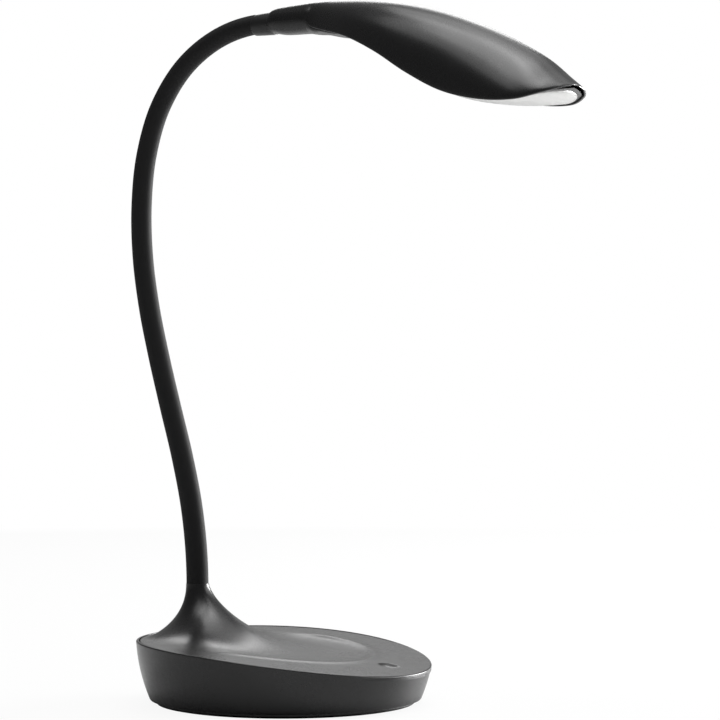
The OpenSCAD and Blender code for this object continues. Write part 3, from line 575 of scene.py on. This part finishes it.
def settled_dust():
    """Dust that settles on surfaces that face up."""
    group, given, put = new_group(
        "Settled dust",
        {
            "Color": (COLOUR, (0.02, 0.02, 0.02, 1)),
            "Roughness": (FLOAT, 0.5),
            "Dust Color": (COLOUR, (0.3, 0.29, 0.28, 1)),
            "Amount": (FLOAT, 0.03),
        },
        {"Color": COLOUR, "Roughness": FLOAT},
    )
    place = node(group, "ShaderNodeTexCoord").outputs["Object"]
    normal = node(group, "ShaderNodeNewGeometry").outputs["Normal"]
    facing = node(group, "ShaderNodeSeparateXYZ", {0: normal})
    up = map_range(group, facing.outputs["Z"], 0.4, 1.0)
    clumps = node(
        group, "ShaderNodeTexNoise", {"Vector": place, "Scale": 260.0, "Detail": 6.0, "Roughness": 0.7}
    )
    lying = math_node(group, "MULTIPLY", up, map_range(group, clumps.outputs["Fac"], 0.35, 0.75))
    mask = math_node(group, "MULTIPLY", lying, given.outputs["Amount"])
    dusted = node(group, "ShaderNodeMix", {"Factor": mask}, data_type="RGBA")
    ends = {socket.identifier: socket for socket in (*dusted.inputs, *dusted.outputs)}
    group.links.new(given.outputs["Color"], ends["A_Color"])
    group.links.new(given.outputs["Dust Color"], ends["B_Color"])
    group.links.new(ends["Result_Color"], put.inputs["Color"])
    duller = math_node(group, "MULTIPLY_ADD", mask, 0.4, given.outputs["Roughness"])
    group.links.new(duller, put.inputs["Roughness"])
    return group


def material(name, **surface):
    """A new material with its Principled shader: returns it, its node tree and the shader."""
    new = bpy.data.materials.new(name)
    new.use_nodes = True
    shader = new.node_tree.nodes["Principled BSDF"]
    for socket, value in surface.items():
        shader.inputs[socket.replace("_", " ")].default_value = value
    return new, new.node_tree, shader


def group_node(tree, name, inputs):
    """A node group placed in a material, with its inputs given a value or linked to an output."""
    return node(tree, "ShaderNodeGroup", inputs, node_tree=bpy.data.node_groups[name])


def moulded(
    name, tint, roughness, grain=3000.0, patch=40.0, tone=0.2, gloss=0.1, bump=0.05, dust=0.0, **surface
):
    """A moulded or coated material: grain, soft patches and, where it faces up, dust."""
    new, tree, shader = material(name, **surface)
    made = coat = group_node(tree, "Moulded grain", {
        "Color": (*tint, 1), "Roughness": roughness, "Grain Scale": grain,
        "Patch Scale": patch, "Tone Change": tone, "Gloss Change": gloss,
    })
    if dust:
        coat = group_node(tree, "Settled dust", {
            "Color": made.outputs["Color"], "Roughness": made.outputs["Roughness"],
            "Dust Color": (*sizes("lamp_finish").dust_grey, 1), "Amount": dust,
        })
    raised = node(
        tree, "ShaderNodeBump",
        {"Height": made.outputs["Height"], "Strength": bump, "Distance": GRAIN_HEIGHT},
    )
    tree.links.new(coat.outputs["Color"], shader.inputs["Base Color"])
    tree.links.new(coat.outputs["Roughness"], shader.inputs["Roughness"])
    tree.links.new(raised.outputs["Normal"], shader.inputs["Normal"])
    return new


def dress(piece, finish):
    """Gives a piece its material."""
    piece.data.materials.clear()
    piece.data.materials.append(bpy.data.materials[finish])


# Finishes of the foot and of what is inside the lamp: name, colour, roughness and the rest.
METAL = dict(bump=0.04, Metallic=1.0)
HIDDEN_FINISHES = (
    ("Foot rubber", (0.012, 0.012, 0.012), 0.85, dict(grain=1800, bump=0.3)),
    ("White reflector", (0.85, 0.85, 0.83), 0.5, dict(tone=0.04, bump=0.04)),
    ("Board white", (0.82, 0.82, 0.80), 0.45, dict(tone=0.05, bump=0.04)),
    ("Circuit board", (0.02, 0.10, 0.045), 0.4, dict(patch=300, tone=0.5, bump=0.06)),
    ("Phosphor", (0.85, 0.62, 0.12), 0.4, dict(tone=0.1)),
    ("Wire cover", (0.30, 0.02, 0.02), 0.5, {}),
    ("Fastener steel", (0.55, 0.56, 0.58), 0.30, dict(METAL, patch=500, gloss=0.2)),
    ("Neck steel", (0.42, 0.42, 0.44), 0.38, dict(METAL, patch=400, tone=0.25, gloss=0.2, bump=0.06)),
    ("Ballast iron", (0.10, 0.10, 0.105), 0.6,
     dict(METAL, grain=900, patch=120, tone=0.4, gloss=0.2, bump=0.5)),
    ("Spreader alloy", (0.70, 0.71, 0.73), 0.33, dict(METAL, patch=300, tone=0.15, bump=0.05)),
    ("Contact brass", (0.70, 0.45, 0.16), 0.3, dict(METAL, patch=400)),
)


class LAMP_OT_finishes(bpy.types.Operator):
    """Makes the materials of the lamp"""

    bl_idname = "lamp.finishes"
    bl_label = "Finishes"

    def execute(self, context):
        finish = sizes("lamp_finish")
        moulded_grain()
        settled_dust()
        for name, tint, roughness, surface in (
            ("Soft-touch coating", finish.soft_black, 0.28, dict(grain=2600, dust=finish.dust)),
            ("Sleeve rubber", finish.sleeve_black, 0.70,
             dict(grain=3500, patch=70, bump=0.12, Specular_IOR_Level=0.28)),
            ("Moulded trim", finish.trim_black, 0.42, dict(bump=0.06)),
            ("Bezel plastic", finish.trim_black, 0.36, dict(bump=0.04)),
            ("Opal lens", finish.opal_white, 0.30, dict(grain=2400, tone=0.02, gloss=0.04, bump=0.02)),
            *HIDDEN_FINISHES,
        ):
            moulded(name, tint, roughness, **surface)
        return {"FINISHED"}


# Finishes of the frame's own nodes, by the record's material slot.
SLOT_FINISHES = {
    "soft_touch": "Soft-touch coating",
    "sleeve_rubber": "Sleeve rubber",
    "foot_rubber": "Foot rubber",
    "bezel_plastic": "Bezel plastic",
    "opal_lens": "Opal lens",
    "white_reflector": "White reflector",
    "fastener_steel": "Fastener steel",
    "neck_steel": "Neck steel",
    "ballast_iron": "Ballast iron",
    "circuit_board": "Circuit board",
    "board_white": "Board white",
    "moulded_black": "Moulded trim",
    "led_phosphor": "Phosphor",
    "spreader_alloy": "Spreader alloy",
    "contact_brass": "Contact brass",
    "wire_cover": "Wire cover",
}


class LAMP_OT_frame_parts(bpy.types.Operator):
    """Gives every node of the frame the finish of its material slot"""

    bl_idname = "lamp.frame_parts"
    bl_label = "Frame parts"

    def execute(self, context):
        slots = {part["node"]: part["material_slot"] for part in frame["record"]["subparts"]}
        for name, piece in frame["nodes"].items():
            finish = bpy.data.materials[SLOT_FINISHES[slots[name]]]
            if not piece.data.materials:
                piece.data.materials.append(finish)
            for index in range(len(piece.data.materials)):
                piece.data.materials[index] = finish
        return {"FINISHED"}


# ---------------------------------------------------------------------------
# Base
# ---------------------------------------------------------------------------


class LAMP_OT_base_wall(bpy.types.Operator):
    """Builds the side wall of the base with the rounded lip that stands around the top"""

    bl_idname = "lamp.base_wall"
    bl_label = "Base wall"

    def execute(self, context):
        base = sizes("lamp_base")
        wall, lip, low = base.wall / MM, base.lip / MM, base.foot_height / MM
        turns, under_cover = 288, 1.5
        foot_round, rim_round, lip_round = 0.4, 0.8, 0.3
        sections = []
        for a in spread(0, 2 * math.pi, turns):
            across = base.radius / MM * math.cos(a)
            top, groove = crown(across), crown(across, wall) - under_cover
            foot, shoulder, inner_edge = low + foot_round, top - rim_round, top - lip_round
            profile = corner((wall_radius(low) - lip_round, foot), foot_round, -90, 0, 3)[:-1]
            profile += [(wall_radius(z), z) for z in spread(foot, shoulder, 14)]
            profile += corner((wall_radius(top) - rim_round, shoulder), rim_round, 0, 90, 6)[1:]
            profile += corner((wall_radius(top) - lip + lip_round, inner_edge), lip_round, 90, 180, 3)
            profile.append((wall_radius(groove) - lip, groove))
            profile.append((wall_radius(groove) - wall, groove - 0.01))
            profile += [(wall_radius(z) - wall, z) for z in spread(groove - 1, low, 8)]
            profile.append(profile[0])
            sections.append([(r * math.cos(a), r * math.sin(a), z) for r, z in profile])
        wall_piece = loft("base_wall", sections, sharp=40)
        dress(wall_piece, "Soft-touch coating")
        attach(wall_piece, "base")
        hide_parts("base_shell")
        return {"FINISHED"}


class LAMP_OT_top_cover(bpy.types.Operator):
    """Builds the crowned top with its dish, its touch hollow and the fairing up to the neck"""

    bl_idname = "lamp.top_cover"
    bl_label = "Top cover"

    def execute(self, context):
        base, neck = sizes("lamp_base"), sizes("lamp_neck")
        back, top = -neck.root_back / MM, neck.root_height / MM
        thick = base.wall / MM
        edge = base.radius / MM - base.lip / MM - base.seam / MM
        edge_round = 0.45
        neck_r, bore_r = neck.root_radius / MM + 0.2, 4.3
        bore_low = top - 16      # foot of the bore around the neck
        turns, flare_rows, top_rows = 320, 34, 130
        sections = []
        for t in spread(0, 2 * math.pi, turns):
            a = t - 0.6 * math.sin(t)      # closer rows at the front, where the touch hollow is
            run, side = math.cos(a), math.sin(a)

            def surface(r, run=run, side=side):
                return top_surface(back + r * run, r * side)

            far = -back * run + math.sqrt(edge ** 2 - (back * side) ** 2)
            reach = fairing_reach(a, far)
            climb = top - surface(neck_r)
            ahead = (1 + run) / 2      # 1 to the front, where the fairing runs out longer, and 0 behind
            points = []
            for s in spread(0, 1, flare_rows):
                r = neck_r + (reach - neck_r) * s ** (2.2 - 0.85 * ahead)
                points.append((r, surface(r) + climb * (1 - s) ** (1.1 + 1.1 * ahead)))
            points += [(r, surface(r)) for r in spread(reach, far - 0.5, top_rows)[1:]]
            points += corner((far - edge_round, surface(far) - edge_round), edge_round, 80, 0, 3)
            points.append((far, surface(far) - thick))
            points += [(r, surface(r) - thick) for r in spread(far - 1, reach - 3, 12)]
            low = surface(reach) - thick
            for s in spread(1, 0, 8)[1:]:
                r = reach - 3 - (reach - 12) * math.cos(math.pi / 2 * s) ** 1.7
                points.append((r, low + (bore_low - low) * (1 - math.sin(math.pi / 2 * s))))
            points += [(bore_r, bore_low), (bore_r, top), points[0]]
            sections.append([(back + r * run, r * side, z) for r, z in points])
        cover = loft("top_cover", sections, sharp=40)
        dress(cover, "Soft-touch coating")
        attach(cover, "base")
        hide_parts("base_top_cover")
        return {"FINISHED"}


# ---------------------------------------------------------------------------
# Neck
# ---------------------------------------------------------------------------


class LAMP_OT_sleeve(bpy.types.Operator):
    """Builds the sleeve of the neck in stretches from joint to joint, with ball ends inside each other"""

    bl_idname = "lamp.sleeve"
    bl_label = "Neck sleeve"

    def execute(self, context):
        neck = sizes("lamp_neck")
        bore_r = neck.bore_radius / MM
        along = neck_curve()[1]
        total = along[-1]
        bodies = list(frame["record"]["behaviour"]["bodies"])

        def radius(s):
            return (neck.root_radius + (neck.top_radius - neck.root_radius) * s / total) / MM

        def ball(s, way):
            """Rings of a ball end, from the sleeve's outside at distance s down to its bore."""
            full = math.acos(bore_r / radius(s))
            return [neck_ring(s, radius(s), way * a) for a in spread(0, full, 8)[1:]]

        for k, body in enumerate(bodies):
            first, last = k == 0, k == len(bodies) - 1
            start = SLEEVE_START if first else along[k]
            end = total + SLEEVE_OVER if last else along[k + 1]
            stations = spread(start, end, 24)
            rings = [neck_ring(s, radius(s)) for s in stations]
            if not first:
                rings = ball(start, -1)[::-1] + rings
            if not last:
                rings += ball(end, 1)
            bore = [neck_ring(s, bore_r) for s in reversed(stations)]
            loops = rings + bore + rings[:1]
            sections = [[ring[i] for ring in loops] for i in range(SLEEVE_TURNS + 1)]
            piece = loft(f"sleeve_{k:02d}", sections, sharp=50)
            dress(piece, "Sleeve rubber")
            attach(piece, body)
            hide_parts(f"neck_sleeve_{k:02d}")
        return {"FINISHED"}


class LAMP_OT_collar(bpy.types.Operator):
    """Builds the collar between the sleeve and the head"""

    bl_idname = "lamp.collar"
    bl_label = "Neck collar"

    def execute(self, context):
        neck = sizes("lamp_neck")
        rows = [(x, neck.top_radius / MM + over) for x, over in COLLAR]
        start, end = rows[0][0], rows[-1][0]
        profile = [(start, COLLAR_BORE), *rows, (end, COLLAR_BORE), (start, COLLAR_BORE)]
        sections = [
            [(x, r * math.cos(a), COLLAR_RISE * x - COLLAR_DROP + r * math.sin(a)) for x, r in profile]
            for a in spread(0, 2 * math.pi, 64)
        ]
        piece = loft("collar", in_lamp(sections))
        dress(piece, "Moulded trim")
        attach(piece, "head")
        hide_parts("neck_collar")
        return {"FINISHED"}


# ---------------------------------------------------------------------------
# Head
# ---------------------------------------------------------------------------


class LAMP_OT_hood(bpy.types.Operator):
    """Builds the upper shell of the head with its rounded lip"""

    bl_idname = "lamp.hood"
    bl_label = "Head shell"

    def execute(self, context):
        head = sizes("lamp_head")
        last = len(HOOD) - 1
        sections = []
        for s in spread(0, last, 156):
            x, w, back, rim = hood(s)
            ends = rounded_ends(s, last, 0.9, 1.2)
            thin = min(head.shell / MM * ends, 0.45 * w, 0.45 * (back - rim))
            past_join = eased((x - JOIN * head.length / MM) / 5)
            edge = min(0.45, thin / 2.2) * (0.06 + 0.94 * past_join)
            flat = FLAT_TIP * eased((x * MM / head.length - FLAT_FADE[0]) / FLAT_FADE[1])
            outer = arch(w, back, rim + edge, 64, flat)
            inner = arch(w - thin, back - thin, rim + edge, 48, flat)
            lip_out = corner((w - edge, rim + edge), edge, 0, -90, 3)[1:]
            lip_in = corner((w - thin + edge, rim + edge), edge, -90, -180, 3)[:-1]
            lip = lip_out + lip_in
            loop = outer + lip + inner[::-1] + [(-y, z) for y, z in reversed(lip)] + outer[:1]
            sections.append([(x, y, z) for y, z in loop])
        piece = loft("hood", in_lamp(sections), sharp=50)
        dress(piece, "Soft-touch coating")
        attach(piece, "head")
        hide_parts("head_shell")
        return {"FINISHED"}


class LAMP_OT_tongue(bpy.types.Operator):
    """Builds the lower cover of the head, the tongue that starts at the neck"""

    bl_idname = "lamp.tongue"
    bl_label = "Lower cover"

    def execute(self, context):
        head = sizes("lamp_head")
        depth, long, shell = head.depth / MM, head.length / MM, head.shell / MM
        last = len(TONGUE) - 1
        sections = []
        for s in spread(0, last, 66):
            u, edge, hang = through(TONGUE, s)
            x, w, _, rim = hood_at(u * long)
            high = rim + edge * depth
            low = high - hang * depth
            inside = eased((u - JOIN) / 0.05)      # past the join it runs inside the hood's shell
            half = w - 0.05 - (shell + 0.2) * inside
            thick = TONGUE_T * rounded_ends(s, last, 0.5, 0.5)
            outer = arch(half, low, high, 48)
            inner = arch(half - thick, low + thick, high, 40)
            loop = outer + inner[::-1] + outer[:1]
            sections.append([(x, y, z) for y, z in loop])
        piece = loft("tongue", in_lamp(sections), sharp=50)
        dress(piece, "Soft-touch coating")
        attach(piece, "head")
        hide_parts("lower_cover")
        return {"FINISHED"}


class LAMP_OT_bezel(bpy.types.Operator):
    """Builds the bezel around the lens"""

    bl_idname = "lamp.bezel"
    bl_label = "Bezel"

    def execute(self, context):
        head = sizes("lamp_head")
        low, top, wide = head.recess / MM, head.recess / MM + BEZEL_T, head.bezel / MM
        profile = [
            (0, low + 0.4), (0.05, low + 0.15), (0.3, low), (wide - 0.5, low),
            (wide - 0.15, low + 0.15), (wide, low + 0.5), (wide, top), (0, low + 0.4),
        ]
        loops = [outline(gap, lift) for gap, lift in profile]
        sections = [[loop[i] for loop in loops] for i in range(len(loops[0]))]
        piece = loft("bezel", in_lamp(sections), sharp=50)
        dress(piece, "Bezel plastic")
        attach(piece, "head")
        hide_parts("lens_bezel")
        return {"FINISHED"}


class LAMP_OT_lens(bpy.types.Operator):
    """Builds the opal lens, domed out of its bezel"""

    bl_idname = "lamp.lens"
    bl_label = "Lens"

    def execute(self, context):
        head = sizes("lamp_head")
        wide, thick = head.bezel / MM - 0.1, head.lens / MM
        seat = head.recess / MM + BEZEL_T
        start, end = (opening(u, head.bezel / MM)[0] for u in (0, 1))
        sections = []
        for u in spread(0, 1, UNIT_ROWS):
            x, w, rim = opening(u, wide)
            rise = min(1.0, max(0.0, (x - start) / DOME_RISE))
            fall = 1 - DOME_FALL * eased((x - end + DOME_FADE[0]) / DOME_FADE[1])
            lift = lift_at(x)
            dome = head.bulge / MM * rise * (2 - rise) * fall * min(1.0, w / 6)
            ends = rounded_ends(u, 1, 0.04, 0.04) * lift
            inner = [
                (x, w * v, rim + seat * lift - dome * (1 - abs(v) ** 3)) for v in spread(-1, 1, 40)
            ]
            outer = [(x, y, z - thick * ends) for x, y, z in inner]
            sections.append(outer + inner[::-1] + outer[:1])
        piece = loft("opal_lens", in_lamp(sections), sharp=60)
        dress(piece, "Opal lens")
        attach(piece, "head")
        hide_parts("lens")
        return {"FINISHED"}


# ---------------------------------------------------------------------------
# Stage, light and camera
# ---------------------------------------------------------------------------

LIGHTS_AIM = Vector((0, 0, 0.18))
LIGHTS_AWAY = 1.7      # distance of every soft light from there
FLOOR_RADIUS = 6.0
BACKDROP_WAY = (-0.39, 0.84, 0.37)      # from the lamp to the brightest part of the room
CAMERA_PLACE = Vector((0.6479, -1.3529, 0.18973))
CAMERA_AIM = Vector((0.03477, 0.01665, 0.17771))
CAMERA_LENS, CAMERA_SENSOR = 144.545, 36.0

# Soft lights: direction round the lamp and over the table in degrees, width and height in
# metres, power in watts.
SOFT_LIGHTS = [
    ("Back strip", 60, 6, 0.8, 0.6, 30.0),
    ("Back wide", 60, 10, 1.0, 0.5, 8.4),
    ("Back low", 112, 10, 0.8, 0.5, 0.4),
    ("Back middle", 113, 28, 0.8, 0.4, 3.5),
    ("Right middle", 30, 28, 1.0, 0.6, 4.9),
    ("Back high", 80, 48, 1.0, 0.6, 1.4),
    ("Right high", 30, 68, 1.0, 0.7, 6.2),
    ("Back top", 90, 68, 1.0, 0.7, 4.0),
    ("Left high", 240, 68, 1.0, 0.7, 4.0),
    ("Overhead", 0, 88, 0.9, 0.9, 11.0),
]


def soft_light(name, turn, rise, wide, high, power):
    """A soft light that points at the lamp."""
    turn, rise = math.radians(turn), math.radians(rise)
    away = Vector((math.cos(turn) * math.cos(rise), math.sin(turn) * math.cos(rise), math.sin(rise)))
    data = bpy.data.lights.new(name, "AREA")
    data.shape, data.size, data.size_y, data.energy = "RECTANGLE", wide, high, power
    light = bpy.data.objects.new(name, data)
    bpy.context.scene.collection.objects.link(light)
    light.location = LIGHTS_AIM + away * LIGHTS_AWAY
    light.rotation_euler = (-away).to_track_quat("-Z", "Y").to_euler()


class LAMP_OT_stage(bpy.types.Operator):
    """Sets up the pale floor, the white backdrop, the soft lamps and the camera"""

    bl_idname = "lamp.stage"
    bl_label = "Stage"

    def execute(self, context):
        scene = context.scene
        scene.view_settings.view_transform = "Standard"
        self.floor()
        self.world(scene)
        for light in SOFT_LIGHTS:
            soft_light(*light)
        self.camera(scene)
        return {"FINISHED"}

    def floor(self):
        """A round floor that shows white to the camera and keeps the lamp's shadow."""
        nothing_selected()
        bpy.ops.mesh.primitive_circle_add(
            vertices=128, radius=FLOOR_RADIUS, fill_type="TRIFAN", location=(0, 0, 0)
        )
        floor = bpy.context.object
        floor.name = floor.data.name = "floor"
        new, tree, shader = material("Pale floor", Roughness=0.6)
        shader.inputs["Base Color"].default_value = (*sizes("lamp_finish").floor, 1)
        rays = node(tree, "ShaderNodeLightPath").outputs
        place = node(tree, "ShaderNodeTexCoord").outputs["Object"]
        away = node(tree, "ShaderNodeVectorMath", {0: place}, operation="LENGTH").outputs["Value"]
        far = map_range(tree, away, 0.35, 1.4)
        side = node(tree, "ShaderNodeSeparateXYZ", {0: place}).outputs["X"]
        bright = map_range(tree, side, -1.0, 0.4, 0.25, 0.72)
        shiny = math_node(tree, "MULTIPLY", rays["Is Glossy Ray"], bright)
        glossy = math_node(tree, "MULTIPLY", far, shiny)
        clean = math_node(tree, "MULTIPLY", math_node(tree, "MAXIMUM", far, 0.92), rays["Is Camera Ray"])
        blank = math_node(tree, "MAXIMUM", glossy, clean)
        white = node(tree, "ShaderNodeEmission", {"Color": (1, 1, 1, 1), "Strength": 1.0})
        mixed = node(tree, "ShaderNodeMixShader", {0: blank, 1: shader.outputs[0], 2: white.outputs[0]})
        tree.links.new(mixed.outputs[0], tree.nodes["Material Output"].inputs["Surface"])
        floor.data.materials.append(new)

    def world(self, scene):
        """A room that is white to the camera and dim in the lamp's reflections."""
        world = bpy.data.worlds.new("White room")
        world.use_nodes = True
        tree = world.node_tree
        tree.nodes.clear()
        rays = node(tree, "ShaderNodeLightPath").outputs
        seen = math_node(tree, "MAXIMUM", rays["Is Camera Ray"], rays["Is Transmission Ray"])
        way = node(tree, "ShaderNodeTexCoord").outputs["Generated"]
        ahead = node(tree, "ShaderNodeVectorMath", {0: way, 1: BACKDROP_WAY}, operation="DOT_PRODUCT")
        behind = map_range(
            tree, ahead.outputs["Value"], 0.7, 0.98, 0.16, 0.24, interpolation_type="SMOOTHSTEP"
        )
        soft = math_node(tree, "MULTIPLY", rays["Is Glossy Ray"], behind)
        level = math_node(tree, "MAXIMUM", seen, soft)
        back = node(tree, "ShaderNodeBackground", {"Color": (1, 1, 1, 1), "Strength": level})
        out = node(tree, "ShaderNodeOutputWorld")
        tree.links.new(back.outputs[0], out.inputs["Surface"])
        scene.world = world

    def camera(self, scene):
        """The camera in front of the lamp."""
        data = bpy.data.cameras.new("Camera")
        data.lens, data.sensor_width, data.clip_start = CAMERA_LENS, CAMERA_SENSOR, 0.05
        camera = bpy.data.objects.new("Camera", data)
        scene.collection.objects.link(camera)
        camera.location = CAMERA_PLACE
        camera.rotation_euler = (CAMERA_AIM - CAMERA_PLACE).to_track_quat("-Z", "Y").to_euler()
        scene.camera = camera


# ---------------------------------------------------------------------------
# Panel, registration and the run
# ---------------------------------------------------------------------------

GROUPS = {"lamp_base": BaseSizes, "lamp_neck": NeckSizes, "lamp_head": HeadSizes, "lamp_finish": Finishes}
STEPS = [
    LAMP_OT_stage,
    LAMP_OT_finishes,
    LAMP_OT_frame_parts,
    LAMP_OT_base_wall,
    LAMP_OT_top_cover,
    LAMP_OT_sleeve,
    LAMP_OT_collar,
    LAMP_OT_hood,
    LAMP_OT_tongue,
    LAMP_OT_bezel,
    LAMP_OT_lens,
]


class LAMP_PT_panel(bpy.types.Panel):
    """Sizes, colours and pieces of the desk lamp"""

    bl_idname = "LAMP_PT_panel"
    bl_label = "Desk Lamp"
    bl_space_type = "VIEW_3D"
    bl_region_type = "UI"
    bl_category = "Desk Lamp"

    def draw(self, context):
        for group, kind in GROUPS.items():
            box = self.layout.box()
            box.label(text=kind.__name__)
            for field in kind.__annotations__:
                box.prop(getattr(context.scene, group), field)
        for step in STEPS:
            self.layout.operator(step.bl_idname)


CLASSES = (*GROUPS.values(), *STEPS, LAMP_PT_panel)


def register():
    for cls in CLASSES:
        bpy.utils.register_class(cls)
    for group, kind in GROUPS.items():
        setattr(bpy.types.Scene, group, bpy.props.PointerProperty(type=kind))


def unregister():
    for group in GROUPS:
        delattr(bpy.types.Scene, group)
    for cls in reversed(CLASSES):
        bpy.utils.unregister_class(cls)


def main():
    """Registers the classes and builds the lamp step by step."""
    register()
    for step in STEPS:
        category, name = step.bl_idname.split(".")
        getattr(getattr(bpy.ops, category), name)()


if __name__ == "__main__":
    main()
